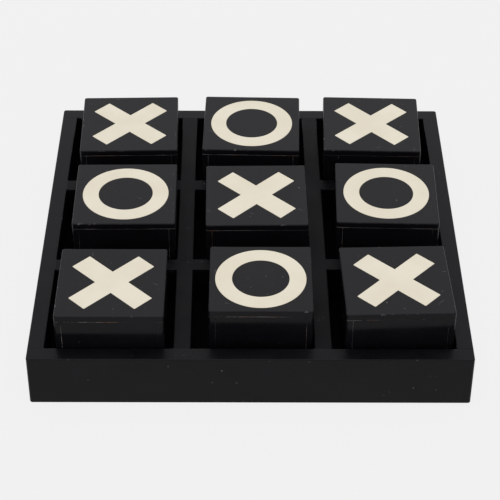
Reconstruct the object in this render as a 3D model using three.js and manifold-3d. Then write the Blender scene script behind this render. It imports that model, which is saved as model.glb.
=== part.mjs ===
// Tic tac toe set: a square tray with nine pockets, and nine loose blocks, five with an inlaid
// cross and four with an inlaid ring. Each block lifts straight up out of its pocket.
// Millimetres, +Z up. The origin is the middle of the tray's underside, and the front faces -Y.

import * as THREE from 'three';
import { mergeVertices } from 'three/addons/utils/BufferGeometryUtils.js';
import Module from 'manifold-3d';

const wasm = await Module();
wasm.setup();

// ---------------------------------------------------------------- driving dimensions

// Tray
const TRAY_WIDTH = 200;
const TRAY_DEPTH = 200;
const TRAY_HEIGHT = 26.4;
const TRAY_CORNER_RADIUS = 1.2;
const RIM_THICKNESS = 7.6;
const DIVIDER_THICKNESS = 8;
const PANEL_THICKNESS = 6;
const UNDERSIDE_FELT_THICKNESS = 1;
const UNDERSIDE_FELT_MARGIN = 2;

// The divider grid was set by hand: it is turned a little in its frame, and one divider is off.
const GRID_TURN = THREE.MathUtils.degToRad(0.4);
const LEFT_DIVIDER_SHIFT = 0.8;

// Blocks. The play is how much wider a pocket is than the block that stands in it.
const BLOCK_PLAY = 7.3;
const BLOCK_HEIGHT = 36.3;
const BLOCK_CORNER_RADIUS = 1;
const SIDE_SHEET_THICKNESS = 3;
const TOP_SLAB_THICKNESS = 3;
const BLOCK_FELT_THICKNESS = 1;
const BLOCK_FELT_MARGIN = 1.5;

// Inlaid marks. A cross's bars and a ring's diameter are a full-size block's width less two
// margins. The floor is the resin that is left under a mark.
const CROSS_MARGIN = 3.2;
const CROSS_ARM_WIDTH = 10.7;
const RING_MARGIN = 3.7;
const RING_BAND_WIDTH = 7.7;
const RECESS_FLOOR = 1.1;

// Clearances
const GLUE_LINE = 0.1;
const INLAY_FIT = 0.08;
const BLOCK_REST_GAP = 0.1;
const BLOCK_WALL_GAP = 0.2;

// How finely arcs are cut: a corner into 6 straight pieces, and a ring's circle into 96
const CORNER_STEPS = 3;
const RING_STEPS = 48;

// ---------------------------------------------------------------- sizes that follow

const INNER_WIDTH = TRAY_WIDTH - 2 * RIM_THICKNESS;
const INNER_DEPTH = TRAY_DEPTH - 2 * RIM_THICKNESS;
const POCKET_WIDTH = (INNER_WIDTH - 2 * DIVIDER_THICKNESS) / 3;
const POCKET_DEPTH = (INNER_DEPTH - 2 * DIVIDER_THICKNESS) / 3;
const FLOOR_Z = UNDERSIDE_FELT_THICKNESS + GLUE_LINE + PANEL_THICKNESS;
const HALF_DIVIDER = DIVIDER_THICKNESS / 2;
const BLOCK_WIDTH = POCKET_WIDTH - BLOCK_PLAY;
const BLOCK_DEPTH = POCKET_DEPTH - BLOCK_PLAY;
const CROSS_SPAN = Math.min(BLOCK_WIDTH, BLOCK_DEPTH) - 2 * CROSS_MARGIN;
const RING_RADIUS = Math.min(BLOCK_WIDTH, BLOCK_DEPTH) / 2 - RING_MARGIN;

// Centre lines of the dividers, in the turned grid
const LEFT_DIVIDER_X = -POCKET_WIDTH / 2 - HALF_DIVIDER + LEFT_DIVIDER_SHIFT;
const RIGHT_DIVIDER_X = POCKET_WIDTH / 2 + HALF_DIVIDER;
const BACK_DIVIDER_Y = POCKET_DEPTH / 2 + HALF_DIVIDER;
const FRONT_DIVIDER_Y = -BACK_DIVIDER_Y;

// ---------------------------------------------------------------- materials

const finish = (name, color, roughness) =>
  new THREE.MeshStandardMaterial({ name, color, roughness, metalness: 0 });

const trayResin = () => finish('tray_resin', '#1d1d1e', 0.3);
const blockResin = () => finish('block_resin', '#242325', 0.45);
const inlayResin = () => finish('inlay_resin', '#e5ddcc', 0.5);
const blackBoard = () => finish('painted_board', '#141414', 0.7);
const bareBoard = () => finish('core_board', '#a07b55', 0.85);
const blackFelt = () => finish('black_felt', '#101010', 0.95);

// ---------------------------------------------------------------- shapes

function rectangle(left, right, front, back) {
  return new THREE.Shape([
    new THREE.Vector2(left, front),
    new THREE.Vector2(right, front),
    new THREE.Vector2(right, back),
    new THREE.Vector2(left, back),
  ]);
}

// A rectangle about the origin, smaller all round than a given size
function centred(width, depth, inset) {
  const x = width / 2 - inset;
  const y = depth / 2 - inset;
  return rectangle(-x, x, -y, y);
}

function roundedRectangle(width, depth, radius) {
  const x = width / 2 - radius;
  const y = depth / 2 - radius;
  const outline = new THREE.Shape();
  outline.absarc(x, y, radius, 0, 0.5 * Math.PI);
  outline.absarc(-x, y, radius, 0.5 * Math.PI, Math.PI);
  outline.absarc(-x, -y, radius, Math.PI, 1.5 * Math.PI);
  outline.absarc(x, -y, radius, 1.5 * Math.PI, 2 * Math.PI);
  return outline;
}

// Two bars crossed at right angles and turned to the diagonals, grown all round by a clearance
function crossOutline(grow) {
  const arm = CROSS_SPAN / 2 + grow;
  const half = CROSS_ARM_WIDTH / 2 + grow;
  const points = [];
  for (let quarter = 0; quarter < 4; quarter += 1) {
    const corners = [[arm, -half], [arm, half], [half, half]];
    const turn = (quarter + 0.5) * 0.5 * Math.PI;
    for (const [x, y] of corners) {
      points.push(new THREE.Vector2(x, y).rotateAround(new THREE.Vector2(), turn));
    }
  }
  return new THREE.Shape(points);
}

function ringOutline(grow) {
  const outline = new THREE.Shape();
  outline.absarc(0, 0, RING_RADIUS + grow, 0, 2 * Math.PI);
  const hole = new THREE.Path();
  hole.absarc(0, 0, RING_RADIUS - RING_BAND_WIDTH - grow, 0, 2 * Math.PI);
  outline.holes.push(hole);
  return outline;
}

const MARKS = {
  cross: { outline: crossOutline, steps: 1 },
  ring: { outline: ringOutline, steps: RING_STEPS },
};

// Extrudes an outline from one height to another. Each arc in it gets 2 * steps straight pieces.
function extrude(outline, fromZ, toZ, steps) {
  const geometry = new THREE.ExtrudeGeometry(outline, {
    depth: toZ - fromZ,
    bevelEnabled: false,
    curveSegments: steps,
  });
  return geometry.translate(0, 0, fromZ);
}

function toManifold(geometry) {
  const bare = geometry.clone();
  bare.deleteAttribute('normal');
  bare.deleteAttribute('uv');
  const merged = mergeVertices(bare);
  return new wasm.Manifold(new wasm.Mesh({
    numProp: 3,
    vertProperties: new Float32Array(merged.attributes.position.array),
    triVerts: new Uint32Array(merged.index.array),
  }));
}

function subtract(body, tool) {
  const cut = toManifold(body).subtract(toManifold(tool)).getMesh();
  const geometry = new THREE.BufferGeometry();
  geometry.setAttribute('position', new THREE.BufferAttribute(cut.vertProperties, 3));
  geometry.setIndex(new THREE.BufferAttribute(cut.triVerts, 1));
  geometry.computeVertexNormals();
  return geometry;
}

function piece(name, geometry, material) {
  const mesh = new THREE.Mesh(geometry, material);
  mesh.name = name;
  return mesh;
}

// ---------------------------------------------------------------- tray

// The front and back rims run the tray's full width, so they hold its rounded corners.
function longRim() {
  const x = TRAY_WIDTH / 2;
  const radius = TRAY_CORNER_RADIUS;
  const outline = new THREE.Shape();
  outline.moveTo(x, RIM_THICKNESS);
  outline.lineTo(-x, RIM_THICKNESS);
  outline.absarc(-x + radius, radius, radius, Math.PI, 1.5 * Math.PI);
  outline.absarc(x - radius, radius, radius, 1.5 * Math.PI, 2 * Math.PI);
  return extrude(outline, 0, TRAY_HEIGHT, CORNER_STEPS).translate(0, -TRAY_DEPTH / 2, 0);
}

// The left and right rims fit between them.
function sideRim() {
  const end = INNER_DEPTH / 2 - GLUE_LINE;
  const outer = TRAY_WIDTH / 2;
  return extrude(rectangle(INNER_WIDTH / 2, outer, -end, end), 0, TRAY_HEIGHT, 1);
}

function frame() {
  const group = new THREE.Group();
  const front = piece('rim_front', longRim(), trayResin());
  const back = piece('rim_back', longRim().rotateZ(Math.PI), trayResin());
  const right = piece('rim_right', sideRim(), trayResin());
  const left = piece('rim_left', sideRim().rotateZ(Math.PI), trayResin());
  group.add(front, back, left, right);
  return group;
}

// The panel fills the frame, and the felt under it is flush with the frame's lower edge.
function bottom() {
  const group = new THREE.Group();
  const panelOutline = centred(INNER_WIDTH, INNER_DEPTH, GLUE_LINE);
  const panel = extrude(panelOutline, FLOOR_Z - PANEL_THICKNESS, FLOOR_Z, 1);
  const feltOutline = centred(INNER_WIDTH, INNER_DEPTH, UNDERSIDE_FELT_MARGIN);
  const felt = extrude(feltOutline, 0, UNDERSIDE_FELT_THICKNESS, 1);
  group.add(piece('bottom_panel', panel, blackBoard()));
  group.add(piece('underside_felt', felt, blackFelt()));
  return group;
}

// How far a divider runs from the turned grid's middle before it meets the frame. The inner face
// is square to the tray, so the reach depends on how far the divider is from the middle.
function reach(inner, offset) {
  const square = (inner / 2 + offset * Math.sin(GRID_TURN)) / Math.cos(GRID_TURN);
  const corner = HALF_DIVIDER * Math.abs(Math.tan(GRID_TURN));
  return square - corner - GLUE_LINE;
}

function dividers() {
  const group = new THREE.Group();
  const half = HALF_DIVIDER;
  const fromZ = FLOOR_Z + GLUE_LINE;
  const add = (name, left, right, front, back) => {
    const bar = extrude(rectangle(left, right, front, back), fromZ, TRAY_HEIGHT, 1);
    group.add(piece(name, bar, trayResin()));
  };

  // Two long dividers run from the front rim to the back rim.
  for (const [side, x] of [['left', LEFT_DIVIDER_X], ['right', RIGHT_DIVIDER_X]]) {
    const front = -reach(INNER_DEPTH, x);
    const back = reach(INNER_DEPTH, -x);
    add(`divider_long_${side}`, x - half, x + half, front, back);
  }

  // Six short dividers fill in between them and the side rims.
  for (const [row, y] of [['back', BACK_DIVIDER_Y], ['front', FRONT_DIVIDER_Y]]) {
    const spans = [
      ['left', -reach(INNER_WIDTH, -y), LEFT_DIVIDER_X - half - GLUE_LINE],
      ['centre', LEFT_DIVIDER_X + half + GLUE_LINE, RIGHT_DIVIDER_X - half - GLUE_LINE],
      ['right', RIGHT_DIVIDER_X + half + GLUE_LINE, reach(INNER_WIDTH, y)],
    ];
    for (const [column, left, right] of spans) {
      add(`divider_short_${row}_${column}`, left, right, y - half, y + half);
    }
  }
  group.rotation.z = GRID_TURN;
  return group;
}

// ---------------------------------------------------------------- blocks

// One block about its own axis, standing on z = 0: felt, core, a band of side sheets, a slab
// that closes the top, and a mark let into the slab and flush with it
function block(name, mark, width, depth) {
  const group = new THREE.Group();
  const bodyZ = BLOCK_FELT_THICKNESS + GLUE_LINE;
  const slabZ = BLOCK_HEIGHT - TOP_SLAB_THICKNESS;
  const recessZ = slabZ + RECESS_FLOOR;

  const feltOutline = centred(width, depth, BLOCK_FELT_MARGIN);
  const felt = extrude(feltOutline, 0, BLOCK_FELT_THICKNESS, 1);

  const coreOutline = centred(width, depth, SIDE_SHEET_THICKNESS + GLUE_LINE);
  const core = extrude(coreOutline, bodyZ, slabZ - GLUE_LINE, 1);

  const bandOutline = roundedRectangle(width, depth, BLOCK_CORNER_RADIUS);
  bandOutline.holes.push(centred(width, depth, SIDE_SHEET_THICKNESS));
  const band = extrude(bandOutline, bodyZ, slabZ - GLUE_LINE, CORNER_STEPS);

  const { outline, steps } = MARKS[mark];
  const slabOutline = roundedRectangle(width, depth, BLOCK_CORNER_RADIUS);
  const plainSlab = extrude(slabOutline, slabZ, BLOCK_HEIGHT, CORNER_STEPS);
  const recess = extrude(outline(INLAY_FIT), recessZ, BLOCK_HEIGHT + 1, steps);
  const inlay = extrude(outline(0), recessZ + GLUE_LINE, BLOCK_HEIGHT, steps);

  group.add(piece(`${name}_felt_pad`, felt, blackFelt()));
  group.add(piece(`${name}_core`, core, bareBoard()));
  group.add(piece(`${name}_side_sheets`, band, blockResin()));
  group.add(piece(`${name}_top_slab`, subtract(plainSlab, recess), blockResin()));
  group.add(piece(`${name}_${mark}_inlay`, inlay, inlayResin()));
  return group;
}

// Where the walls of each column and row of pockets are: a frame face or a divider face
const COLUMNS = {
  left: [-INNER_WIDTH / 2, LEFT_DIVIDER_X - HALF_DIVIDER],
  centre: [LEFT_DIVIDER_X + HALF_DIVIDER, RIGHT_DIVIDER_X - HALF_DIVIDER],
  right: [RIGHT_DIVIDER_X + HALF_DIVIDER, INNER_WIDTH / 2],
};
const ROWS = {
  front: [-INNER_DEPTH / 2, FRONT_DIVIDER_Y - HALF_DIVIDER],
  middle: [FRONT_DIVIDER_Y + HALF_DIVIDER, BACK_DIVIDER_Y - HALF_DIVIDER],
  back: [BACK_DIVIDER_Y + HALF_DIVIDER, INNER_DEPTH / 2],
};

// The free rectangle of a pocket. The dividers are turned with the grid and the frame is not, so
// a divider's face counts where it leans furthest into the pocket.
function pocket(column, row) {
  const [left, right] = COLUMNS[column];
  const [front, back] = ROWS[row];
  const slope = (wall, inner) => (Math.abs(wall) < inner / 2 ? Math.tan(GRID_TURN) : 0);
  const lean = (pick, factor, ends) => pick(...ends.map((end) => end * factor));
  const across = [
    left + lean(Math.max, -slope(left, INNER_WIDTH), [front, back]),
    right + lean(Math.min, -slope(right, INNER_WIDTH), [front, back]),
  ];
  const along = [
    front + lean(Math.max, slope(front, INNER_DEPTH), [left, right]),
    back + lean(Math.min, slope(back, INNER_DEPTH), [left, right]),
  ];
  return { across, along };
}

// How the blocks lie in their pockets. Slide is a share of the free play, from -1 to 1, to the
// right and to the back. Turn is in degrees, anticlockwise from above. One block was cut narrow.
const LAY = [
  { row: 'back', column: 'left', mark: 'cross', slide: [0.85, -0.75], turn: 1.4 },
  { row: 'back', column: 'centre', mark: 'ring', slide: [0.35, -0.65], turn: -1.3 },
  { row: 'back', column: 'right', mark: 'cross', slide: [-0.7, -1], turn: -1.7 },
  { row: 'middle', column: 'left', mark: 'ring', slide: [1, 0.55], turn: 0.6 },
  { row: 'middle', column: 'centre', mark: 'cross', slide: [1, 0.15], turn: 0.8 },
  { row: 'middle', column: 'right', mark: 'ring', slide: [0.6, 0.7], turn: -1.4 },
  { row: 'front', column: 'left', mark: 'cross', slide: [0.2, -0.65], turn: 0 },
  { row: 'front', column: 'centre', mark: 'ring', slide: [1, 0.15], turn: 0, trim: 2 },
  { row: 'front', column: 'right', mark: 'cross', slide: [0.75, -0.1], turn: 1.8 },
];

function placedBlock({ row, column, mark, slide, turn, trim = 0 }) {
  const width = BLOCK_WIDTH - trim;
  const depth = BLOCK_DEPTH - trim;
  const angle = THREE.MathUtils.degToRad(turn);
  const footprint = (side, other) => side * Math.cos(angle) + other * Math.abs(Math.sin(angle));
  const place = ([low, high], size, share) => {
    const play = (high - low - size) / 2 - BLOCK_WALL_GAP;
    return (low + high) / 2 + share * play;
  };
  const { across, along } = pocket(column, row);
  const group = block(`block_${row}_${column}`, mark, width, depth);
  group.position.x = place(across, footprint(width, depth), slide[0]);
  group.position.y = place(along, footprint(depth, width), slide[1]);
  group.position.z = FLOOR_Z + BLOCK_REST_GAP;
  group.rotation.z = angle;
  return group;
}

const set = new THREE.Group();
set.add(frame(), bottom(), dividers());
for (const entry of LAY) {
  set.add(placedBlock(entry));
}

export default set;
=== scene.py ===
# %% [markdown]
# # A tic tac toe set in black resin
#
# The set is a square tray with nine pockets and a loose block standing in each. Everything is
# cut from sheets of black resin, glued up by hand and sanded. Five blocks have a cream cross let
# into the top and four have a cream ring.
#
# The sizes, places and moving bodies were settled in a CAD model, which is loaded first. This
# script then makes the pieces that show, each one at the place its CAD solid holds, and gives
# them their finishes.

# %% Load the frame
import math

import bpy
from mathutils import Matrix, Vector


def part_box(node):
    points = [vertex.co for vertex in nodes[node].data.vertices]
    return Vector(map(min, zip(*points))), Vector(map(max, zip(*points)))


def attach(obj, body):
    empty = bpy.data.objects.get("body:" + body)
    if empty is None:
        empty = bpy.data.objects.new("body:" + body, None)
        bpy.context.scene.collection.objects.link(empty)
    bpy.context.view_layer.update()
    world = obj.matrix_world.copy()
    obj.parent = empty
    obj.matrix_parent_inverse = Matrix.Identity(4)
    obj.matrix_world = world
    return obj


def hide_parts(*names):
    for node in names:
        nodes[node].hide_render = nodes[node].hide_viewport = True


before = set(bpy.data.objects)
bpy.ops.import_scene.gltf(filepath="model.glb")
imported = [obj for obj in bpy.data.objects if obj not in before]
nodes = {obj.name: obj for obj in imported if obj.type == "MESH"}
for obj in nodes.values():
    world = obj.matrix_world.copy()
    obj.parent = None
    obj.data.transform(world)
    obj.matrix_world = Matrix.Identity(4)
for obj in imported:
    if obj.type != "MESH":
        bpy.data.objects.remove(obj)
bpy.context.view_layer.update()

# %% [markdown]
# ## Reading a size off a solid
#
# The dividers and the blocks are turned a little, because they were set by hand. A box that
# follows the world's axes would be too big for them, so each solid is measured along its own
# axes: its largest face that looks to the right gives the turn, and the corners are turned back
# by that much before they are measured.

# %% Measure how a solid lies
MM = 0.001
LOOKS_RIGHT = 0.9


def lie(node):
    """A solid's turn about Z, its middle, and its size along its own axes."""
    mesh = nodes[node].data
    right = max(mesh.polygons, key=lambda p: p.area if p.normal.x > LOOKS_RIGHT else 0)
    turn = math.atan2(right.normal.y, right.normal.x)
    spin, unspin = Matrix.Rotation(turn, 3, "Z"), Matrix.Rotation(-turn, 3, "Z")
    corners = [unspin @ vertex.co for vertex in mesh.vertices]
    low = Vector([min(c[axis] for c in corners) for axis in range(3)])
    high = Vector([max(c[axis] for c in corners) for axis in range(3)])
    return turn, spin @ ((low + high) / 2), high - low


for node in ("rim_front", "divider_long_left", "block_back_left_top_slab"):
    turn, middle, size = lie(node)
    print(node, "turned", round(math.degrees(turn), 2), "size mm", [round(s / MM, 1) for s in size])

# %% [markdown]
# ## Camera
#
# The view is from the front, well above the tray, through a long lens, so that the tray's sides
# draw in only a little towards the back. A short lens would make the front blocks look far
# bigger than the back ones.

# %% Camera
CAMERA_PLACE = (-2.6 * MM, -651.8 * MM, 524.2 * MM)
CAMERA_TURN = (51.71, -0.21, -0.06)
CAMERA_LENS = 120.2
CAMERA_SENSOR = 36
CAMERA_NEAREST = 0.05

scene = bpy.context.scene
scene.view_settings.view_transform = "Standard"
bpy.ops.object.camera_add(
    location=CAMERA_PLACE,
    rotation=[math.radians(angle) for angle in CAMERA_TURN],
)
camera = bpy.context.object
camera.name = "camera"
camera.data.sensor_width = CAMERA_SENSOR
camera.data.lens = CAMERA_LENS
camera.data.clip_start = CAMERA_NEAREST
scene.camera = camera
print("camera lens:", CAMERA_LENS, "mm")

# %% [markdown]
# ## Floor and light
#
# Black resin shows mostly what it reflects, so the light matters more than its colour. One
# large soft light hangs overhead and makes most of the brightness on what faces up. The room
# around it is dimmer, because that is what the tray's top mirrors towards the camera, and only
# the camera sees it as a pale backdrop. The floor is a pale lit table, which keeps shadows
# faint. Several small lamps would leave sharp spots on the polish instead.

# %% Floor, room and overhead light
FLOOR_SIZE = 12
FLOOR_DROP = 0.1 * MM
FLOOR_GLOW = 0.845
FLOOR_WHITE = 0.03
ROOM_COLOUR = (0.99, 0.993, 1.025, 1)
ROOM_LIGHT = 1.0
BACKDROP = 0.87
OVERHEAD_POWER = 4.0
OVERHEAD_SIZE = 1.0
OVERHEAD_HEIGHT = 1.3
WHITE = (1, 1, 1, 1)

bpy.ops.mesh.primitive_plane_add(size=FLOOR_SIZE, location=(0, 0, -FLOOR_DROP))
floor = bpy.context.object
floor.name = "floor"
table = bpy.data.materials.new("lit_table")
table.use_nodes = True
surface = table.node_tree.nodes["Principled BSDF"]
surface.inputs["Base Color"].default_value = (FLOOR_WHITE, FLOOR_WHITE, FLOOR_WHITE, 1)
surface.inputs["Roughness"].default_value = 1
surface.inputs["Specular IOR Level"].default_value = 0
surface.inputs["Emission Color"].default_value = WHITE
surface.inputs["Emission Strength"].default_value = FLOOR_GLOW
floor.data.materials.append(table)

bpy.ops.object.light_add(type="AREA", location=(0, 0, OVERHEAD_HEIGHT))
overhead = bpy.context.object
overhead.name = "overhead_light"
overhead.data.size = OVERHEAD_SIZE
overhead.data.energy = OVERHEAD_POWER

room = bpy.data.worlds.new("room")
room.use_nodes = True
scene.world = room
tree = room.node_tree
dim = tree.nodes["Background"]
dim.inputs["Color"].default_value = ROOM_COLOUR
dim.inputs["Strength"].default_value = ROOM_LIGHT
pale = tree.nodes.new("ShaderNodeBackground")
pale.inputs["Color"].default_value = WHITE
pale.inputs["Strength"].default_value = BACKDROP
seen = tree.nodes.new("ShaderNodeLightPath")
mix = tree.nodes.new("ShaderNodeMixShader")
tree.links.new(seen.outputs["Is Camera Ray"], mix.inputs[0])
tree.links.new(dim.outputs[0], mix.inputs[1])
tree.links.new(pale.outputs[0], mix.inputs[2])
tree.links.new(mix.outputs[0], tree.nodes["World Output"].inputs["Surface"])
print("overhead light:", OVERHEAD_POWER, "W, floor glow", FLOOR_GLOW)

# %% [markdown]
# ## A shorthand for shader nodes
#
# A material is a small graph. Writing it by hand takes three lines for each node, so these
# helpers add a node and fill its inputs in one call. A number is set on the input, and another
# node's output is linked to it.

# %% Node shorthand


def fill(tree, socket, value):
    """Links another node's output to an input, or sets a plain value on it."""
    if isinstance(value, bpy.types.NodeSocket):
        tree.links.new(value, socket)
    else:
        socket.default_value = value


def add(tree, kind, *values, settings=None, **named):
    """Adds a node. Values fill its inputs in order, and named ones by name."""
    node = tree.nodes.new("ShaderNode" + kind)
    for key, value in (settings or {}).items():
        setattr(node, key, value)
    for socket, value in zip(node.inputs, values):
        fill(tree, socket, value)
    for key, value in named.items():
        fill(tree, node.inputs[key], value)
    return node


def calculate(tree, operation, *values, clamp=False):
    """One sum on numbers, such as POWER or LESS_THAN."""
    settings = {"operation": operation, "use_clamp": clamp}
    return add(tree, "Math", *values, settings=settings).outputs[0]


def times(tree, first, second, clamp=False):
    return calculate(tree, "MULTIPLY", first, second, clamp=clamp)


def plus(tree, first, second, clamp=False):
    return calculate(tree, "ADD", first, second, clamp=clamp)


def minus(tree, first, second, clamp=False):
    return calculate(tree, "SUBTRACT", first, second, clamp=clamp)


def remap(tree, value, low, high, new_low=0.0, new_high=1.0):
    """Stretches a range of values to another one, and holds it there."""
    return add(tree, "MapRange", value, low, high, new_low, new_high).outputs[0]


def noise(tree, place, scale, detail=2.0, rough=0.5):
    """Cloudy noise from 0 to 1, mostly near the middle."""
    node = add(tree, "TexNoise", Vector=place, Scale=scale, Detail=detail, Roughness=rough)
    return node.outputs[0]


def blend_colour(tree, share, below, above):
    """Lays one colour over another by a share."""
    node = add(tree, "Mix", share, settings={"data_type": "RGBA"})
    colours = [socket for socket in node.inputs if socket.type == "RGBA"]
    fill(tree, colours[0], below)
    fill(tree, colours[1], above)
    return next(socket for socket in node.outputs if socket.type == "RGBA")


print("node shorthand is ready")

# %% [markdown]
# ## Marks that every hand-finished surface shares
#
# Black resin hides nothing. A real piece has a cloudy haze left by the sanding, a few hairline
# scratches, dust that has settled on it, and edges rubbed paler where fingers meet them. An
# image could hold all that, but it would have to be painted for each piece. So each mark is one
# node group instead. It gives out a mask or a height, and each material decides how much to use.

# %% Start and place a node group


def new_group(name, inputs, outputs):
    """A shader node group with named number inputs, a Vector to work on, and named outputs."""
    group = bpy.data.node_groups.new(name, "ShaderNodeTree")
    face = group.interface
    face.new_socket("Vector", in_out="INPUT", socket_type="NodeSocketVector")
    for label, value in inputs.items():
        face.new_socket(label, in_out="INPUT", socket_type="NodeSocketFloat").default_value = value
    for label in outputs:
        face.new_socket(label, in_out="OUTPUT", socket_type="NodeSocketFloat")
    enter, leave = group.nodes.new("NodeGroupInput"), group.nodes.new("NodeGroupOutput")
    return group, enter.outputs, leave.inputs


def place_group(tree, group, place, **named):
    """Puts a node group in a material and returns its outputs."""
    node = tree.nodes.new("ShaderNodeGroup")
    node.node_tree = group
    fill(tree, node.inputs["Vector"], place)
    for key, value in named.items():
        fill(tree, node.inputs[key], value)
    return node.outputs


print("groups can be made and placed")

# %% [markdown]
# ### Haze
#
# Sanding leaves broad clouds, where the hand pressed more or less, and a fine grit over them.
# Two noises of very different size are added for that, and the grit alone is the height.

# %% Haze from sanding
CLOUD_SHARE = 0.65
HAZE_RANGE = (0.30, 0.70)

haze_sizes = {"Cloud": 60.0, "Grit": 900.0}
haze_group, inside, outside = new_group("sanding_haze", haze_sizes, ["Haze", "Height"])
tree = haze_group
clouds = noise(tree, inside["Vector"], inside["Cloud"], 4.0, 0.55)
grit = noise(tree, inside["Vector"], inside["Grit"], 3.0, 0.6)
both = plus(tree, times(tree, clouds, CLOUD_SHARE), times(tree, grit, 1 - CLOUD_SHARE))
tree.links.new(remap(tree, both, *HAZE_RANGE), outside["Haze"])
tree.links.new(grit, outside["Height"])
print("haze inputs:", haze_sizes)

# %% [markdown]
# ### Scratches
#
# A scratch is a short thin line that tapers at both ends and wanders a little, and no two point
# the same way. Cells of a Voronoi pattern give each scratch its own middle, and the cell's
# random colour gives its direction, its length and whether it is there at all. The pattern is
# flat, so a surface that stands upright uses its height and its width instead of its plan.

# %% Hairline scratches
FACES_UP = 0.7
WANDER = 0.6 * MM
WANDER_SCALE = 150.0

scratch_sizes = {"Scale": 90.0, "Length": 4 * MM, "Width": 0.1 * MM, "Share": 0.2}
scratch_group, inside, outside = new_group("hairline_scratches", scratch_sizes, ["Mask"])
tree = scratch_group
xyz = add(tree, "SeparateXYZ", inside["Vector"]).outputs
sideways = add(tree, "CombineXYZ", plus(tree, xyz[0], xyz[1]), xyz[2]).outputs[0]
facing = add(tree, "SeparateXYZ", add(tree, "NewGeometry").outputs["Normal"]).outputs[2]
level = calculate(tree, "GREATER_THAN", calculate(tree, "ABSOLUTE", facing), FACES_UP)
flat = add(tree, "MixRGB", level, sideways, inside["Vector"]).outputs[0]
wander = add(tree, "TexNoise", Vector=flat, Scale=WANDER_SCALE, Detail=1.0).outputs["Color"]
bend = add(tree, "VectorMath", wander, (WANDER, WANDER, 0), settings={"operation": "MULTIPLY"})
bent = add(tree, "VectorMath", flat, bend.outputs[0], settings={"operation": "ADD"}).outputs[0]
flat_cells = {"voronoi_dimensions": "2D"}
cells = add(tree, "TexVoronoi", Vector=bent, Scale=inside["Scale"], settings=flat_cells).outputs
chance = add(tree, "SeparateColor", cells["Color"]).outputs
offset = add(tree, "VectorMath", bent, cells["Position"], settings={"operation": "SUBTRACT"})
angle = times(tree, chance[0], math.pi)
about_z = {"rotation_type": "Z_AXIS"}
turned = add(tree, "VectorRotate", Vector=offset.outputs[0], Angle=angle, settings=about_z)
lengthways = add(tree, "SeparateXYZ", turned.outputs[0]).outputs
along = calculate(tree, "ABSOLUTE", lengthways[0])
across = calculate(tree, "ABSOLUTE", lengthways[1])
half = times(tree, inside["Length"], times(tree, chance[1], 0.5))
taper = minus(tree, 1.0, calculate(tree, "DIVIDE", along, half), clamp=True)
narrow = times(tree, inside["Width"], calculate(tree, "POWER", taper, 0.5))
line = calculate(tree, "DIVIDE", minus(tree, narrow, across), inside["Width"], clamp=True)
chosen = calculate(tree, "LESS_THAN", chance[2], inside["Share"])
tree.links.new(times(tree, line, chosen), outside["Mask"])
print("scratch inputs:", scratch_sizes)

# %% [markdown]
# ### Dust
#
# Dust lies as separate specks of many sizes and strengths, thicker in some places than others.
# Each Voronoi cell holds one speck. The cell's random colour decides whether it is there, how
# large it is and how strong, and a slow noise makes crowds and clear patches.

# %% Dust and specks
CROWD_SCALE = 50.0
SPECK_EDGE = 3.0
STRENGTH_POWER = 2.0

speck_sizes = {"Scale": 300.0, "Size": 0.2, "Share": 0.1}
speck_group, inside, outside = new_group("dust_specks", speck_sizes, ["Mask"])
tree = speck_group
cells = add(tree, "TexVoronoi", Vector=inside["Vector"], Scale=inside["Scale"]).outputs
chance = add(tree, "SeparateColor", cells["Color"]).outputs
crowd = remap(tree, noise(tree, inside["Vector"], CROWD_SCALE), 0.35, 0.65, 0.2, 2.0)
chosen = calculate(tree, "LESS_THAN", chance[0], times(tree, inside["Share"], crowd))
radius = times(tree, inside["Size"], chance[1])
near = calculate(tree, "DIVIDE", minus(tree, radius, cells["Distance"]), radius, clamp=True)
soft = times(tree, near, SPECK_EDGE, clamp=True)
strength = times(tree, soft, calculate(tree, "POWER", chance[2], STRENGTH_POWER))
tree.links.new(times(tree, strength, chosen), outside["Mask"])
print("speck inputs:", speck_sizes)

# %% [markdown]
# ### Rubbed edges
#
# Handling rubs an edge through to a paler grey, in spots and not in a line. The pieces say
# where their eased edges are, and a fine noise with a hard threshold picks the spots on them.

# %% Rubbed edges
WEAR_START = 0.75
WEAR_SHARPNESS = 6.0

wear_sizes = {"Edge": 0.0, "Scale": 450.0, "Amount": 0.5}
wear_group, inside, outside = new_group("rubbed_edges", wear_sizes, ["Mask"])
tree = wear_group
patches = noise(tree, inside["Vector"], inside["Scale"], 3.0, 0.6)
start = minus(tree, WEAR_START, times(tree, inside["Amount"], 0.5))
rubbed = times(tree, minus(tree, patches, start), WEAR_SHARPNESS, clamp=True)
tree.links.new(times(tree, rubbed, inside["Edge"]), outside["Mask"])
print("wear inputs:", wear_sizes)

# %% [markdown]
# ### Nap
#
# Felt and fibreboard are both pressed fibres. A very fine noise stands for the fibres, its size
# changed from place to place so that they don't look even, with coarser tufts over it.

# %% Felt nap
FIBRE_SHARE = 0.6
FIBRE_CHANGE = 900.0

nap_group, inside, outside = new_group("felt_nap", {"Fibre": 2600.0}, ["Shade", "Height"])
tree = nap_group
uneven = noise(tree, inside["Vector"], 500.0)
fibre_scale = plus(tree, inside["Fibre"], times(tree, uneven, FIBRE_CHANGE))
fibres = noise(tree, inside["Vector"], fibre_scale, 4.0, 0.75)
tufts = noise(tree, inside["Vector"], 700.0, 3.0, 0.6)
nap = plus(tree, times(tree, fibres, FIBRE_SHARE), times(tree, tufts, 1 - FIBRE_SHARE))
tree.links.new(remap(tree, nap, 0.35, 0.65), outside["Shade"])
tree.links.new(nap, outside["Height"])
print("node groups:", sorted(group.name for group in bpy.data.node_groups))

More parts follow.
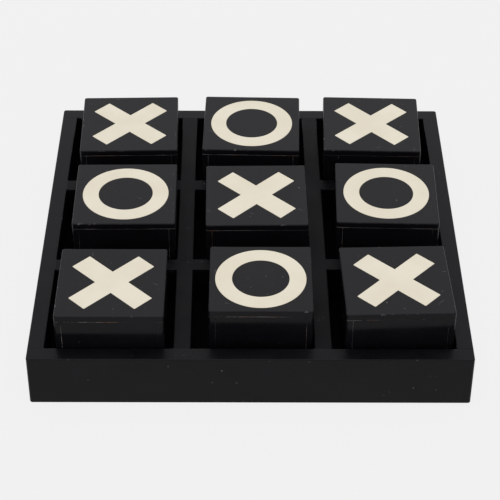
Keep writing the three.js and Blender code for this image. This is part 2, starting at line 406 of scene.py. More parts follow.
# %% [markdown]
# ## Black resin
#
# The black resin is one substance with four finishes. The tray is rubbed to a satin, so it
# mirrors the blocks softly, and its dividers are a little duller because no hand reached them
# well. The sides of the blocks are polished and look almost like black glass. Their tops were
# sanded flat after the marks were let in, which left a grey haze. One function builds all four,
# and each finish is a set of values.
#
# Each piece carries an attribute named rubbed, which is 1 on the faces of its eased edges, so
# that the wear knows where the edges are.

# %% Start a material
INK_WARM = 0.98
INK_BLUE = 1.22


def grey(value):
    return (value, value, value, 1)


def ink(value):
    """Black resin's own colour, which is a little blue."""
    return (INK_WARM * value, INK_WARM * value, INK_BLUE * value, 1)


def new_material(name, specular):
    """A material with its own Principled shader, and the Object coordinates it works in."""
    material = bpy.data.materials.new(name)
    material.use_nodes = True
    surface = material.node_tree.nodes["Principled BSDF"]
    surface.inputs["Specular IOR Level"].default_value = specular
    place = material.node_tree.nodes.new("ShaderNodeTexCoord").outputs["Object"]
    return material, material.node_tree, surface, place


def eased_edges(tree):
    return add(tree, "Attribute", settings={"attribute_name": "rubbed"}).outputs["Fac"]


def emboss(tree, surface, height, strength, depth):
    """Lets a height raise and sink the surface a little."""
    raised = add(tree, "Bump", Height=height, Strength=strength, Distance=depth)
    tree.links.new(raised.outputs[0], surface.inputs["Normal"])


print("ink at 0.01:", ink(0.01))

# %% Black resin in any finish
RUBBED_GREY = 0.14
SCRATCH_GREY = 0.25
SCRATCH_SHOWS = 0.8
SCRATCH_DEPTH = 0.4
DUST_COLOUR = (0.50, 0.48, 0.46, 1)
DUST_HEIGHT = 0.8
DUST_DULLS = 0.4
GRAIN_DEPTH = 0.05 * MM


def black_resin(name, colour, specular, rough, haze_lift, specks, dust_white, wear, scratch, bump):
    material, tree, surface, place = new_material(name, specular)
    haze = place_group(tree, haze_group, place)
    dust = place_group(tree, speck_group, place, Size=0.14, Share=specks)
    fine_dust = place_group(tree, speck_group, place, Scale=700.0, Size=0.25, Share=specks * 0.3)
    worn = place_group(tree, wear_group, place, Edge=eased_edges(tree), Amount=wear)["Mask"]
    scratched = place_group(tree, scratch_group, place, Share=scratch)["Mask"]
    marks = calculate(tree, "MAXIMUM", dust["Mask"], fine_dust["Mask"])

    dark, light = ink(colour * (1 - haze_lift)), ink(colour * (1 + haze_lift))
    hazed = blend_colour(tree, haze["Haze"], dark, light)
    rubbed = blend_colour(tree, worn, hazed, grey(RUBBED_GREY))
    scored = blend_colour(tree, times(tree, scratched, SCRATCH_SHOWS), rubbed, grey(SCRATCH_GREY))
    dusty = blend_colour(tree, times(tree, marks, dust_white), scored, DUST_COLOUR)
    tree.links.new(dusty, surface.inputs["Base Color"])

    roughness = remap(tree, haze["Haze"], 0.0, 1.0, *rough)
    roughness = plus(tree, roughness, times(tree, marks, DUST_DULLS), clamp=True)
    tree.links.new(roughness, surface.inputs["Roughness"])

    grain = minus(tree, haze["Height"], times(tree, scratched, SCRATCH_DEPTH))
    height = plus(tree, grain, times(tree, marks, DUST_HEIGHT))
    emboss(tree, surface, height, bump, GRAIN_DEPTH)
    return material


tray_satin = black_resin(
    "tray_satin", colour=0.0032, specular=0.112, rough=(0.24, 0.40), haze_lift=0.30,
    specks=0.14, dust_white=0.16, wear=0.15, scratch=0.06, bump=0.12,
)
divider_satin = black_resin(
    "divider_satin", colour=0.0026, specular=0.082, rough=(0.34, 0.56), haze_lift=0.30,
    specks=0.10, dust_white=0.16, wear=0.15, scratch=0.08, bump=0.12,
)
side_polish = black_resin(
    "side_polish", colour=0.0042, specular=0.110, rough=(0.10, 0.22), haze_lift=0.25,
    specks=0.05, dust_white=0.16, wear=0.25, scratch=0.05, bump=0.05,
)
top_sanded = black_resin(
    "top_sanded", colour=0.0036, specular=0.170, rough=(0.28, 0.48), haze_lift=0.35,
    specks=0.28, dust_white=0.40, wear=0.42, scratch=0.35, bump=0.12,
)
print("black resin:", [finish.name for finish in (tray_satin, divider_satin, side_polish, top_sanded)])

# %% [markdown]
# ## Cream resin
#
# The marks are cream resin made to look like bone: warm, nearly even, with a faint mottle and a
# few darker pores. A plain colour would look like paper, so three weak layers are laid over
# each other, and the eased edges are darker where grime has gathered.

# %% Cream inlay
CREAM_DEEP = (0.63, 0.575, 0.452, 1)
CREAM_PALE = (0.66, 0.610, 0.494, 1)
MOTTLE = (0.59, 0.535, 0.415, 1)
PORE = (0.40, 0.32, 0.22, 1)
GRIME = (0.25, 0.21, 0.16, 1)


def cream_resin():
    material, tree, surface, place = new_material("cream_inlay", 0.35)
    haze = place_group(tree, haze_group, place, Cloud=110.0, Grit=1400.0)
    pores = place_group(tree, speck_group, place, Scale=650.0, Size=0.28, Share=0.16)["Mask"]
    broad = noise(tree, place, 45.0, 3.0)
    warm = blend_colour(tree, remap(tree, broad, 0.4, 0.6), CREAM_DEEP, CREAM_PALE)
    mottled = blend_colour(tree, times(tree, haze["Haze"], 0.30), warm, MOTTLE)
    speckled = blend_colour(tree, times(tree, pores, 0.45), mottled, PORE)
    grimed = blend_colour(tree, times(tree, eased_edges(tree), 0.5), speckled, GRIME)
    tree.links.new(grimed, surface.inputs["Base Color"])
    tree.links.new(remap(tree, haze["Haze"], 0.0, 1.0, 0.42, 0.56), surface.inputs["Roughness"])
    height = minus(tree, haze["Height"], times(tree, pores, 0.8))
    emboss(tree, surface, height, 0.3, 0.04 * MM)
    return material


cream = cream_resin()
print("made", cream.name)

# %% [markdown]
# ## Old glue
#
# Where the sheets meet, a film of old glue shows as a hairline that changes from pale grey to
# rust and is missing in places. The film is a real thin piece, made further on. Its colour is
# two noises: one chooses pale or rust, and the others let it fade to black.

# %% Glue film
GLUE_PALE = (0.25, 0.22, 0.195, 1)
GLUE_RUST = (0.25, 0.105, 0.06, 1)
GLUE_BLACK = 0.006


def old_glue():
    material, tree, surface, place = new_material("old_glue", 0.3)
    kind = noise(tree, place, 70.0, 3.0, 0.6)
    colour = blend_colour(tree, remap(tree, kind, 0.50, 0.62), GLUE_PALE, GLUE_RUST)
    gaps = noise(tree, place, 160.0, 3.0, 0.7)
    spread = noise(tree, place, 40.0, 1.0)
    seen = times(tree, remap(tree, gaps, 0.38, 0.58), remap(tree, spread, 0.36, 0.60))
    tree.links.new(blend_colour(tree, seen, grey(GLUE_BLACK), colour), surface.inputs["Base Color"])
    tree.links.new(remap(tree, gaps, 0.3, 0.7, 0.45, 0.8), surface.inputs["Roughness"])
    return material


glue = old_glue()
print("made", glue.name)

# %% [markdown]
# ## Board
#
# The floor of the pockets is a board painted dull black, so that the pockets look deep. Inside
# each block is the same board left bare, brown and flecked. The paint shows the brushed haze,
# and the bare board shows its fibres.

# %% Painted and bare board
BOARD_DUST = (0.1, 0.09, 0.08, 1)
BOARD_DEEP = (0.29, 0.17, 0.085, 1)
BOARD_PALE = (0.42, 0.27, 0.15, 1)
BOARD_FLECK = (0.14, 0.07, 0.03, 1)


def painted_board():
    material, tree, surface, place = new_material("painted_floor", 0.03)
    haze = place_group(tree, haze_group, place, Cloud=90.0, Grit=1100.0)
    dust = place_group(tree, speck_group, place, Scale=260.0, Size=0.2, Share=0.12)["Mask"]
    coat = blend_colour(tree, haze["Haze"], grey(0.0012), grey(0.0024))
    dusty = blend_colour(tree, times(tree, dust, 0.3), coat, BOARD_DUST)
    tree.links.new(dusty, surface.inputs["Base Color"])
    tree.links.new(remap(tree, haze["Haze"], 0.0, 1.0, 0.75, 0.9), surface.inputs["Roughness"])
    emboss(tree, surface, haze["Height"], 0.5, 0.1 * MM)
    return material


def fibreboard():
    material, tree, surface, place = new_material("bare_fibreboard", 0.2)
    nap = place_group(tree, nap_group, place, Fibre=1500.0)
    flecks = place_group(tree, speck_group, place, Scale=900.0, Size=0.4, Share=0.4)["Mask"]
    plain = blend_colour(tree, nap["Shade"], BOARD_DEEP, BOARD_PALE)
    flecked = blend_colour(tree, times(tree, flecks, 0.5), plain, BOARD_FLECK)
    tree.links.new(flecked, surface.inputs["Base Color"])
    tree.links.new(remap(tree, nap["Shade"], 0.0, 1.0, 0.75, 0.95), surface.inputs["Roughness"])
    emboss(tree, surface, nap["Height"], 0.5, 0.15 * MM)
    return material


paint = painted_board()
board = fibreboard()
print("made", paint.name, "and", board.name)

# %% [markdown]
# ## Black felt
#
# The feet are thin black felt. Its fibres catch the light at a slant, which is what the sheen
# is for, and it holds specks of lint.

# %% Felt finish
LINT = (0.25, 0.24, 0.22, 1)


def black_felt():
    material, tree, surface, place = new_material("black_felt", 0.1)
    surface.inputs["Sheen Weight"].default_value = 0.25
    nap = place_group(tree, nap_group, place)
    lint = place_group(tree, speck_group, place, Scale=420.0, Size=0.16, Share=0.06)["Mask"]
    wool = blend_colour(tree, nap["Shade"], grey(0.004), grey(0.018))
    tree.links.new(blend_colour(tree, times(tree, lint, 0.5), wool, LINT), surface.inputs["Base Color"])
    tree.links.new(remap(tree, nap["Shade"], 0.0, 1.0, 0.9, 1.0), surface.inputs["Roughness"])
    emboss(tree, surface, nap["Height"], 0.8, 0.3 * MM)
    return material


felt = black_felt()
print("materials:", len(bpy.data.materials))

# %% [markdown]
# ## Working on part of a piece
#
# Blender's modelling operators act on whatever is selected, and the loaded solids start out
# selected. So the first helper clears the selection, the next ones start a piece from a
# primitive and pick edges by where their ends are, and the last eases the picked edges and
# marks the new faces as rubbed.

# %% Start and place a piece


def clear_selection():
    bpy.ops.object.select_all(action="DESELECT")


def take(piece):
    """Makes a piece the only selected one."""
    clear_selection()
    piece.select_set(True)
    bpy.context.view_layer.objects.active = piece


def fix_place(piece, turn=0.0, shift=(0, 0, 0)):
    """Turns and shifts a piece, and writes its place into its mesh."""
    take(piece)
    piece.rotation_euler.z = turn
    piece.location = shift
    bpy.ops.object.transform_apply(location=True, rotation=True, scale=True)
    return piece


def new_box(name, size, middle):
    clear_selection()
    bpy.ops.mesh.primitive_cube_add(size=1, location=middle)
    box = bpy.context.object
    box.name = name
    box.scale = size
    bpy.ops.object.transform_apply(location=True, rotation=True, scale=True)
    box.data.attributes.new("rubbed", "FLOAT", "FACE")
    return box


def join(pieces):
    """Joins pieces into the first one."""
    clear_selection()
    for piece in pieces:
        piece.select_set(True)
    bpy.context.view_layer.objects.active = pieces[0]
    bpy.ops.object.join()
    return pieces[0]


print("pieces can be started, placed and joined")

# %% Pick, ease and cut
NEAR = 0.004 * MM
SQUARE_ON = 0.999
EDGE_STEPS = 3
CORNER_STEPS = 4


def at(value, target):
    return abs(value - target) < NEAR


def upright(a, b):
    """Whether an edge between two corners stands upright."""
    return abs(a.z - b.z) > NEAR and (a.xy - b.xy).length < NEAR


def upright_at(axis, place):
    """Picks the upright edges at a place along an axis."""
    return lambda a, b: upright(a, b) and at(a[axis], place)


def level_at(height):
    """Picks the edges that lie level at a height."""
    return lambda a, b: at(a.z, height) and at(b.z, height)


def pick(piece, part, wanted):
    """Enters edit mode with the edges, or faces, that are wanted selected."""
    take(piece)
    mesh = piece.data
    for element in (*mesh.vertices, *mesh.edges, *mesh.polygons):
        element.select = False
    bpy.context.tool_settings.mesh_select_mode = (False, part == "edges", part == "faces")
    count = 0
    for element in mesh.edges if part == "edges" else mesh.polygons:
        ends = [mesh.vertices[i].co for i in element.vertices]
        if wanted(*ends) if part == "edges" else wanted(element):
            element.select = True
            count += 1
    bpy.ops.object.mode_set(mode="EDIT")
    return count


def ease(piece, wanted, width, steps, rub=True):
    """Rounds the wanted edges, and marks the new faces as rubbed."""
    if not pick(piece, "edges", wanted):
        raise ValueError(f"{piece.name}: no edge to ease")
    bpy.ops.mesh.bevel(offset=width, offset_type="OFFSET", segments=steps, affect="EDGES")
    bpy.ops.object.mode_set(mode="OBJECT")
    mark = piece.data.attributes["rubbed"]
    for polygon in piece.data.polygons:
        slanted = max(abs(part) for part in polygon.normal) < SQUARE_ON
        if polygon.select and slanted and rub:
            mark.data[polygon.index].value = 1
    return piece


def bisect(piece, point, direction):
    """Cuts new edges right round a piece, where a plane crosses it."""
    take(piece)
    bpy.ops.object.mode_set(mode="EDIT")
    bpy.ops.mesh.select_all(action="SELECT")
    bpy.ops.mesh.bisect(plane_co=point, plane_no=direction)
    bpy.ops.object.mode_set(mode="OBJECT")


print("edges nearer than", NEAR / MM, "mm to a place are on it")

# %% [markdown]
# ## Finishing a piece
#
# Every piece is finished alike. Its rounded edges are shaded smooth and its corners stay sharp,
# and its normals are weighted by area, so that a large flat face reflects as flat right up to
# its eased edge. Then the piece gets its materials and its body, and the CAD solid it stands for is
# hidden.

# %% Finish a piece
SMOOTH_UP_TO = math.radians(35)


def finish_piece(piece, node, body, material_slot, *materials):
    """Gives a piece its materials and its body, and hides the CAD solid that it stands for."""
    take(piece)
    bpy.ops.object.shade_smooth_by_angle(angle=SMOOTH_UP_TO)
    even = piece.modifiers.new("flat_faces_stay_flat", "WEIGHTED_NORMAL")
    even.keep_sharp = True
    bpy.ops.object.modifier_apply(modifier=even.name)
    piece.data.materials.clear()
    for material in materials:
        piece.data.materials.append(material)
    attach(piece, body)
    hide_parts(node)
    return piece


def repaint(node, material):
    """Gives a CAD solid that shows as it is a new material."""
    nodes[node].data.materials.clear()
    nodes[node].data.materials.append(material)


print("edges up to", round(math.degrees(SMOOTH_UP_TO)), "degrees are shaded smooth")

# %% [markdown]
# ## The tray's strips
#
# The tray is a frame of four rims with a grid of dividers inside. Each is a plain strip of
# resin, and the tray was glued up before its edges were eased. So an edge is round where it is
# free, and stays sharp where another strip meets it: at the joints only a hairline shows.
#
# To copy that, a strip starts as a box, and bisect cuts it on each side of every neighbour.
# Then only the free stretches of its top edges are rounded. A rim also has its outer foot eased,
# and the front and back rims, which run through to the corners, have rounded outer corners.

# %% Where a strip is met and cut
MARGIN = 0.6 * MM
RUN_OUT = 0.25 * MM


def neighbour_stretch(node, other):
    """Where another strip meets this one: the side, and the stretch along this one."""
    turn, middle, size = lie(node)
    _, other_middle, other_size = lie(other)
    gap = Matrix.Rotation(-turn, 3, "Z") @ (other_middle - middle)
    if size.y > size.x:
        return -math.copysign(1, gap.x), gap.y, min(other_size.xy)
    return math.copysign(1, gap.y), gap.x, min(other_size.xy)


def joint_cuts(length, width, top, joints):
    """The planes that cut a strip along its edges and on each side of every joint."""
    cuts = [((0, 0, top - MARGIN), (0, 0, 1))]
    for side in sorted({side for side, _, _ in joints}):
        cuts.append(((0, side * (width / 2 - MARGIN), 0), (0, 1, 0)))
    for _, where, wide in joints:
        for edge in (-wide / 2, wide / 2):
            if abs(where + edge) < length / 2 - NEAR:
                cuts.append(((where + edge, 0, 0), (1, 0, 0)))
                cuts.append(((where + edge - math.copysign(RUN_OUT, edge), 0, 0), (1, 0, 0)))
    return cuts


side, where, wide = neighbour_stretch("rim_front", "divider_long_left")
print("a divider meets the front rim at", round(where / MM, 1), "mm, over", round(wide / MM, 1), "mm")

# %% Make one strip
EASE = 0.45 * MM
FOOT_EASE = 0.6 * MM
RIM_CORNER = 1.2 * MM
RIM_STEPS = 5


def strip(node, others, rounded_ends=False, eased_foot=False):
    """A strip of the tray, first along X about the origin, then turned into its place."""
    turn, middle, size = lie(node)
    along_y = size.y > size.x
    length, width = max(size.xy), min(size.xy)
    top = size.z / 2
    outer = -math.copysign(1, middle.x) if along_y else math.copysign(1, middle.y)
    joints = [neighbour_stretch(node, other) for other in others]

    def round_end(x):
        return rounded_ends and abs(x) > length / 2 - RIM_CORNER

    def outer_corner(a, b):
        return upright(a, b) and at(abs(a.x), length / 2) and at(a.y, outer * width / 2)

    def met(side, x):
        return any(side == s and abs(x - where) < wide / 2 + NEAR for s, where, wide in joints)

    def free_top(a, b):
        if not level_at(top)(a, b):
            return False
        x = (a.x + b.x) / 2
        if at(a.y, b.y):
            return at(abs(a.y), width / 2) and not met(math.copysign(1, a.y), x)
        return round_end(x)

    def outer_foot(a, b):
        if not level_at(-top)(a, b):
            return False
        if at(a.y, b.y):
            return at(a.y, outer * width / 2)
        return round_end((a.x + b.x) / 2)

    piece = new_box("tray_" + node, (length, width, size.z), (0, 0, 0))
    for point, direction in joint_cuts(length, width, top, joints):
        bisect(piece, point, direction)
    if rounded_ends:
        ease(piece, outer_corner, RIM_CORNER, RIM_STEPS, rub=False)
    ease(piece, free_top, EASE, EDGE_STEPS)
    if eased_foot:
        ease(piece, outer_foot, FOOT_EASE, EDGE_STEPS)
    return fix_place(piece, turn + (math.pi / 2 if along_y else 0), middle)


SIDES = ("left", "centre", "right")
LONG = ["divider_long_left", "divider_long_right"]
SHORT = {side: [f"divider_short_{row}_{side}" for row in ("back", "front")] for side in SIDES}
ALL_SHORT = SHORT["left"] + SHORT["centre"] + SHORT["right"]
print("dividers:", len(LONG) + len(ALL_SHORT))

# %% Rims and dividers
MEETS = {
    "rim_front": LONG + ["rim_left", "rim_right"],
    "rim_back": LONG + ["rim_left", "rim_right"],
    "rim_left": SHORT["left"],
    "rim_right": SHORT["right"],
    "divider_long_left": SHORT["left"] + SHORT["centre"],
    "divider_long_right": SHORT["centre"] + SHORT["right"],
}
for node, others in MEETS.items():
    is_rim = node.startswith("rim")
    through = node in ("rim_front", "rim_back")
    piece = strip(node, others, rounded_ends=through, eased_foot=is_rim)
    finish_piece(piece, node, "tray", "tray_resin", tray_satin if is_rim else divider_satin)
for node in ALL_SHORT:
    finish_piece(strip(node, []), node, "tray", "tray_resin", divider_satin)
repaint("bottom_panel", paint)
print("tray strips:", len(MEETS) + len(ALL_SHORT))

# %% [markdown]
# ## Glue in the tray's joints
#
# The joints are filled with black glue, flush but for a hair. Only the long dividers' back ends
# were left dry. Each joint gets a plate as thin as the gap, so that no light shows through, and
# the plates are joined into one piece.

# %% Fill the tray's joints
JOINT = 0.1 * MM
GLUE_DIP = 0.03 * MM


def glue_between(node, other):
    """A thin plate of glue between a strip's end and the side of the strip that it meets."""
    turn, middle, size = lie(node)
    _, other_middle, _ = lie(other)
    along_y = size.y > size.x
    axis = Matrix.Rotation(turn, 3, "Z") @ Vector((0, 1, 0) if along_y else (1, 0, 0))
    side = math.copysign(1, (other_middle - middle).dot(axis))
    wide, tall = min(size.xy) - 2 * GLUE_DIP, size.z - 2 * GLUE_DIP
    plate = new_box("plate", (wide, JOINT, tall) if along_y else (JOINT, wide, tall), (0, 0, 0))
    return fix_place(plate, turn, middle + axis * side * (max(size.xy) + JOINT) / 2)


RIM_PAIRS = [(node, other) for node in ("rim_left", "rim_right") for other in ("rim_front", "rim_back")]
LONG_PAIRS = [(node, "rim_front") for node in LONG]
BOUNDS = {"left": ("rim_left", LONG[0]), "centre": LONG, "right": (LONG[1], "rim_right")}
SHORT_PAIRS = [(node, other) for side in SIDES for node in SHORT[side] for other in BOUNDS[side]]
plates = [glue_between(node, other) for node, other in RIM_PAIRS + LONG_PAIRS + SHORT_PAIRS]
print("joints filled:", len(plates))
tray_glue = join(plates)
tray_glue.name = "tray_glue"
tray_glue.data.materials.append(divider_satin)
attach(tray_glue, "tray")

# %% [markdown]
# ## Felt
#
# Felt is cut with scissors, so its edge wanders a little and its faces are never quite flat. A
# thin box is divided into a grid, and a cloud texture pushes its points about by a fraction of
# a millimetre. The felt under the tray and the pads under the blocks are made by the same
# function. The box starts a little small, so that the pushed points stay inside the CAD solid.

# %% Make felt
RIPPLE = 0.12 * MM
RIPPLE_LENGTH = 4 * MM
TRAY_FELT_CUTS = 60

ripples = bpy.data.textures.new("felt_clouds", "CLOUDS")
ripples.noise_scale = RIPPLE_LENGTH


def felt_sheet(name, size, middle, cuts):
    inner = Vector(size) - Vector((2 * RIPPLE, 2 * RIPPLE, 2 * RIPPLE))
    piece = new_box(name, inner, middle)
    take(piece)
    bpy.ops.object.mode_set(mode="EDIT")
    bpy.ops.mesh.select_all(action="SELECT")
    bpy.ops.mesh.subdivide(number_cuts=cuts)
    bpy.ops.object.mode_set(mode="OBJECT")
    push = piece.modifiers.new("uneven", "DISPLACE")
    push.texture = ripples
    push.strength = 2 * RIPPLE
    push.mid_level = 0.5
    bpy.ops.object.modifier_apply(modifier=push.name)
    return piece


_, middle, size = lie("underside_felt")
under = felt_sheet("tray_felt", size, middle, TRAY_FELT_CUTS)
finish_piece(under, "underside_felt", "tray", "black_felt", felt)
print("tray felt:", [round(s / MM, 1) for s in size], "mm")

# %% [markdown]
# ## The parts of a block
#
# A block is a core of fibreboard with four resin sheets glued round it. A slab closes the top.
# A recess was cut into the slab, the cream mark was glued in, and the whole top was sanded
# flush. The sizes of all these are differences between the CAD solids, so they are read off
# one block.

# %% Read the block's sizes
SAMPLE = "block_back_left"
sample_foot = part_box(SAMPLE + "_felt_pad")[0].z


def levels(part):
    """A part's lowest and highest level above the block's foot."""
    low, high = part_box(f"{SAMPLE}_{part}")
    return low.z - sample_foot, high.z - sample_foot


LEVELS = {part: levels(part) for part in ("felt_pad", "side_sheets", "top_slab", "cross_inlay")}
WIDTHS = {part: lie(f"{SAMPLE}_{part}")[2].x for part in ("top_slab", "core", "felt_pad")}
GLUE = LEVELS["top_slab"][0] - LEVELS["side_sheets"][1]
SHEET = (WIDTHS["top_slab"] - WIDTHS["core"]) / 2 - GLUE
PAD_MARGIN = (WIDTHS["top_slab"] - WIDTHS["felt_pad"]) / 2
RECESS_DEPTH = LEVELS["cross_inlay"][1] - LEVELS["cross_inlay"][0] + GLUE
print("sheet", round(SHEET / MM, 2), "glue", round(GLUE / MM, 2), "recess", round(RECESS_DEPTH / MM, 2))

# %% [markdown]
# ## Kinds of block
#
# The blocks differ in mark, and one was cut narrower than the rest. So a kind is a mark with a
# width and a depth in millimetres. Each part is modelled once at the origin for each kind, and
# copied to its places at the end. These first pieces are the masters.

# %% List the kinds
PLACES = [(row, side) for row in ("back", "middle", "front") for side in SIDES]
MARK_AT = {place: ("cross", "ring")[i % 2] for i, place in enumerate(PLACES)}
KIND_AT = {}
kinds = {}
for row, side in PLACES:
    _, _, size = lie(f"block_{row}_{side}_top_slab")
    kind = (MARK_AT[row, side], round(size.x / MM, 1), round(size.y / MM, 1))
    KIND_AT[row, side] = kind
    kinds.setdefault(kind, (size.x, size.y))
masters = {kind: {} for kind in kinds}
print("kinds:", list(kinds))

# %% [markdown]
# ## The shapes of the marks
#
# The cross starts as a square block with the width of an arm. Its four sides are extruded
# outwards one after another, and then it is turned by an eighth of a turn. The ring is a small
# rectangle, the section of its band, spun round the block's axis. Both take a growth, because
# the cutter for the recess is the same shape with a little clearance.
#
# Their sizes come from the CAD solids: the nearest corner of a cross is the crotch between two
# arms, and the farthest one ends an arm.

# %% Measure the marks


def reaches(node):
    """The least and the greatest distance of a solid's corners from its own upright axis."""
    low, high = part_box(node)
    axis = ((low + high) / 2).xy
    distances = [(vertex.co.xy - axis).length for vertex in nodes[node].data.vertices]
    return min(distances), max(distances)


RING_INNER, RING_OUTER = reaches("block_back_centre_ring_inlay")
crotch, arm_end = reaches("block_back_left_cross_inlay")
ARM = crotch * math.sqrt(2)
CROSS_SPAN = 2 * math.sqrt(arm_end ** 2 - (ARM / 2) ** 2)
print("cross", round(CROSS_SPAN / MM, 2), "by", round(ARM / MM, 2))
print("ring radii", round(RING_INNER / MM, 2), round(RING_OUTER / MM, 2))

# %% Cross and ring
TIP = 0.4 * MM
RING_STEPS = 128


def middle_side(direction, reach):
    """Picks the side of the middle block that looks one way, and not an arm's end."""
    return lambda face: face.normal.dot(direction) > SQUARE_ON and face.center.xy.length < reach + NEAR


def cross(name, low, high, grow):
    wide, reach = ARM + 2 * grow, CROSS_SPAN / 2 + grow
    piece = new_box(name, (wide, wide, high - low), (0, 0, (low + high) / 2))
    for direction in (Vector((1, 0, 0)), Vector((-1, 0, 0)), Vector((0, 1, 0)), Vector((0, -1, 0))):
        pick(piece, "faces", middle_side(direction, wide / 2))
        push = {"value": direction * (reach - wide / 2)}
        bpy.ops.mesh.extrude_region_move(TRANSFORM_OT_translate=push)
        bpy.ops.object.mode_set(mode="OBJECT")
    ease(piece, lambda a, b: upright(a, b) and a.xy.length > reach, TIP + grow, EDGE_STEPS, rub=False)
    return fix_place(piece, math.pi / 4)


def ring(name, low, high, grow):
    outer, inner = RING_OUTER + grow, RING_INNER - grow
    clear_selection()
    bpy.ops.mesh.primitive_plane_add(size=1)
    piece = bpy.context.object
    piece.name = name
    piece.scale = (outer - inner, high - low, 1)
    piece.rotation_euler.x = math.pi / 2
    piece.location = ((outer + inner) / 2, 0, (low + high) / 2)
    bpy.ops.object.transform_apply(location=True, rotation=True, scale=True)
    piece.data.attributes.new("rubbed", "FLOAT", "FACE")
    bpy.ops.object.mode_set(mode="EDIT")
    bpy.ops.mesh.select_all(action="SELECT")
    bpy.ops.mesh.delete(type="ONLY_FACE")
    bpy.ops.mesh.select_all(action="SELECT")
    bpy.ops.mesh.spin(steps=RING_STEPS, angle=2 * math.pi, center=(0, 0, 0), axis=(0, 0, 1))
    bpy.ops.mesh.select_all(action="SELECT")
    bpy.ops.mesh.remove_doubles(threshold=NEAR)
    bpy.ops.mesh.normals_make_consistent(inside=False)
    bpy.ops.object.mode_set(mode="OBJECT")
    return piece


SHAPES = {"cross": cross, "ring": ring}
print("shapes of marks:", list(SHAPES))

# %% [markdown]
# ## Top slab
#
# The slab is a box with rounded corners and an eased top edge, and a boolean cuts the recess
# with the grown mark. The recess could be left out, since the mark hides it, but then the fine
# dark line of clearance round the mark would be missing.

# %% Slabs
CORNER = 1.0 * MM
TOP_EASE = 0.55 * MM
SEAM_EASE = 0.15 * MM
INLAY_FIT = 0.08 * MM
CUTTER_ABOVE = 1 * MM


def slab(mark, width, depth):
    low, high = LEVELS["top_slab"]
    piece = new_box("slab", (width, depth, high - low), (0, 0, (low + high) / 2))
    ease(piece, upright, CORNER, CORNER_STEPS, rub=False)
    ease(piece, level_at(high), TOP_EASE, EDGE_STEPS)
    ease(piece, level_at(low), SEAM_EASE, 1)
    cutter = SHAPES[mark]("cutter", high - RECESS_DEPTH, high + CUTTER_ABOVE, INLAY_FIT)
    take(piece)
    cut = piece.modifiers.new("recess", "BOOLEAN")
    cut.operation = "DIFFERENCE"
    cut.solver = "EXACT"
    cut.object = cutter
    bpy.ops.object.modifier_apply(modifier=cut.name)
    bpy.data.objects.remove(cutter)
    return piece


for kind, (width, depth) in kinds.items():
    masters[kind]["slab"] = slab(kind[0], width, depth)
    print(kind, "slab faces:", len(masters[kind]["slab"].data.polygons))

# %% [markdown]
# ## Inlaid marks
#
# The mark fills the recess and is flush with the slab. Sanding took the sharpness off its
# outline, so only the edges on the outline are eased. The edges that cross its flat top are
# left alone.

# %% Inlays
INLAY_EASE = 0.06 * MM


def on_outline(mark, a, b):
    """Whether an edge of a mark's top is on its outline and not across it."""
    if mark == "ring":
        return at(a.xy.length, b.xy.length)
    turned = [Matrix.Rotation(-math.pi / 4, 2) @ end.xy for end in (a, b)]
    return not all(max(abs(end.x), abs(end.y)) < ARM / 2 + NEAR for end in turned)


def inlay(mark):
    low, high = LEVELS["cross_inlay"]
    on_top = level_at(high)
    piece = SHAPES[mark]("inlay", low, high, 0)
    return ease(piece, lambda a, b: on_top(a, b) and on_outline(mark, a, b), INLAY_EASE, 1)


for kind in kinds:
    masters[kind]["mark"] = inlay(kind[0])
    print(kind, "mark faces:", len(masters[kind]["mark"].data.polygons))

# %% [markdown]
# ## Side sheets
#
# The left and right sheets run the block's full depth, and the front and back ones fit between
# them, so the sheet ends show as narrow strips at both edges of the front. One band round the
# block would be simpler, but it would have no seams.

# %% Sheets
OUTER_BY = 0.2 * MM


def on_outer_face(a, b, width, depth):
    """Whether an edge lies on the block's outer faces."""
    inner_x, inner_y = width / 2 - CORNER, depth / 2 - CORNER
    return all(max(abs(end.x) - inner_x, abs(end.y) - inner_y) > OUTER_BY for end in (a, b))


def sheets(width, depth):
    low, high = LEVELS["side_sheets"]
    tall, middle = high - low, (low + high) / 2
    between = width - 2 * SHEET - 2 * GLUE
    made = {}
    for side, sign in (("left", -1), ("right", 1)):
        piece = new_box(side, (SHEET, depth, tall), (sign * (width - SHEET) / 2, 0, middle))
        outer = upright_at(0, sign * width / 2)
        made["sheet_" + side] = ease(piece, outer, CORNER, CORNER_STEPS, rub=False)
    for side, sign in (("front", -1), ("back", 1)):
        piece = new_box(side, (between, SHEET, tall), (0, sign * (depth - SHEET) / 2, middle))
        outer = upright_at(1, sign * depth / 2)
        made["sheet_" + side] = ease(piece, outer, SEAM_EASE, 1)

    def outer_rim(a, b):
        return (level_at(high)(a, b) or level_at(low)(a, b)) and on_outer_face(a, b, width, depth)

    for piece in made.values():
        ease(piece, outer_rim, SEAM_EASE, 1)
    return made


for kind, (width, depth) in kinds.items():
    masters[kind].update(sheets(width, depth))
    print(kind, "parts so far:", list(masters[kind]))

# %% [markdown]
# ## Glue between the sheets
#
# The glue is a thin plate under the slab and four narrow ones between the sheets. It stops just
# short of the surface, so a hairline shows at the bottom of each seam. A line painted on the
# sheets would lie on top of the resin and not in the seam.

# %% Glue films
GLUE_SHY = 0.05 * MM


def glue_film(width, depth):
    low, high = LEVELS["side_sheets"]
    shy = 2 * GLUE_SHY
    plates = [new_box("film", (width - shy, depth - shy, GLUE), (0, 0, high + GLUE / 2))]
    seam = width / 2 - SHEET - GLUE / 2
    for x in (-seam, seam):
        for sign in (-1, 1):
            middle = (x, sign * (depth - SHEET) / 2, (low + high) / 2)
            plates.append(new_box("plate", (GLUE, SHEET - shy, high - low), middle))
    ease(plates[0], upright, CORNER, EDGE_STEPS, rub=False)
    return join(plates)


for kind, (width, depth) in kinds.items():
    masters[kind]["glue_film"] = glue_film(width, depth)
print("glue", round(GLUE / MM, 2), "mm thick, let in by", round(GLUE_SHY / MM, 2), "mm")

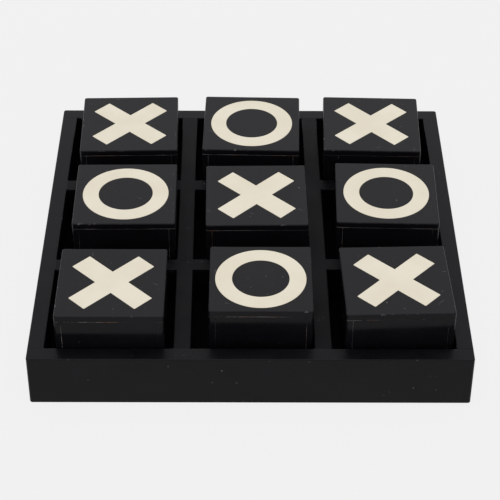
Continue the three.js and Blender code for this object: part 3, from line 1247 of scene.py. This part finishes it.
# %% [markdown]
# ## Felt pads
#
# Each block stands on a felt pad, cut a little smaller than the block so that it doesn't show
# from the side. It is made by the same function as the tray's felt, with a coarser grid.

# %% Pads
PAD_CUTS = 24


def pad(width, depth):
    low, high = LEVELS["felt_pad"]
    size = (width - 2 * PAD_MARGIN, depth - 2 * PAD_MARGIN, high - low)
    return felt_sheet("pad", size, (0, 0, (low + high) / 2), PAD_CUTS)


for kind, (width, depth) in kinds.items():
    masters[kind]["felt"] = pad(width, depth)
    print(kind, "pad faces:", len(masters[kind]["felt"].data.polygons))

# %% [markdown]
# ## Nine blocks
#
# Every block now gets its own copies of its kind's parts, turned and shifted to where it lies
# in its pocket. Each copy rides on its block so that it lifts out with it. The slab carries two
# finishes: its top face is sanded, and everything else on it is polished.

# %% Copy the parts to their places
TOP_FACES_UP = 0.99
TOP_DEPTH = 0.2 * MM


def copy_to(master, name, turn, foot_middle):
    take(master)
    bpy.ops.object.duplicate(linked=False)
    copy = bpy.context.object
    copy.name = name
    return fix_place(copy, turn, foot_middle)


def sand_the_top(piece, top):
    """Puts the sanded finish on a slab's top face and leaves the polish elsewhere."""
    for polygon in piece.data.polygons:
        up = polygon.normal.z > TOP_FACES_UP and polygon.center.z > top - TOP_DEPTH
        polygon.material_index = 1 if up else 0


for row, side in PLACES:
    block = f"block_{row}_{side}"
    turn, middle, _ = lie(block + "_top_slab")
    foot_middle = (middle.x, middle.y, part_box(block + "_felt_pad")[0].z)
    parts = masters[KIND_AT[row, side]].items()
    made = {part: copy_to(master, f"{block}_{part}", turn, foot_middle) for part, master in parts}
    finish_piece(made["slab"], block + "_top_slab", block, "block_resin", side_polish, top_sanded)
    sand_the_top(made["slab"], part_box(block + "_top_slab")[1].z)
    finish_piece(made["mark"], f"{block}_{MARK_AT[row, side]}_inlay", block, "inlay_resin", cream)
    for part, piece in made.items():
        if part.startswith("sheet"):
            finish_piece(piece, block + "_side_sheets", block, "block_resin", side_polish)
    made["glue_film"].data.materials.append(glue)
    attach(made["glue_film"], block)
    finish_piece(made["felt"], block + "_felt_pad", block, "black_felt", felt)
    repaint(block + "_core", board)
for parts in masters.values():
    for master in parts.values():
        bpy.data.objects.remove(master)
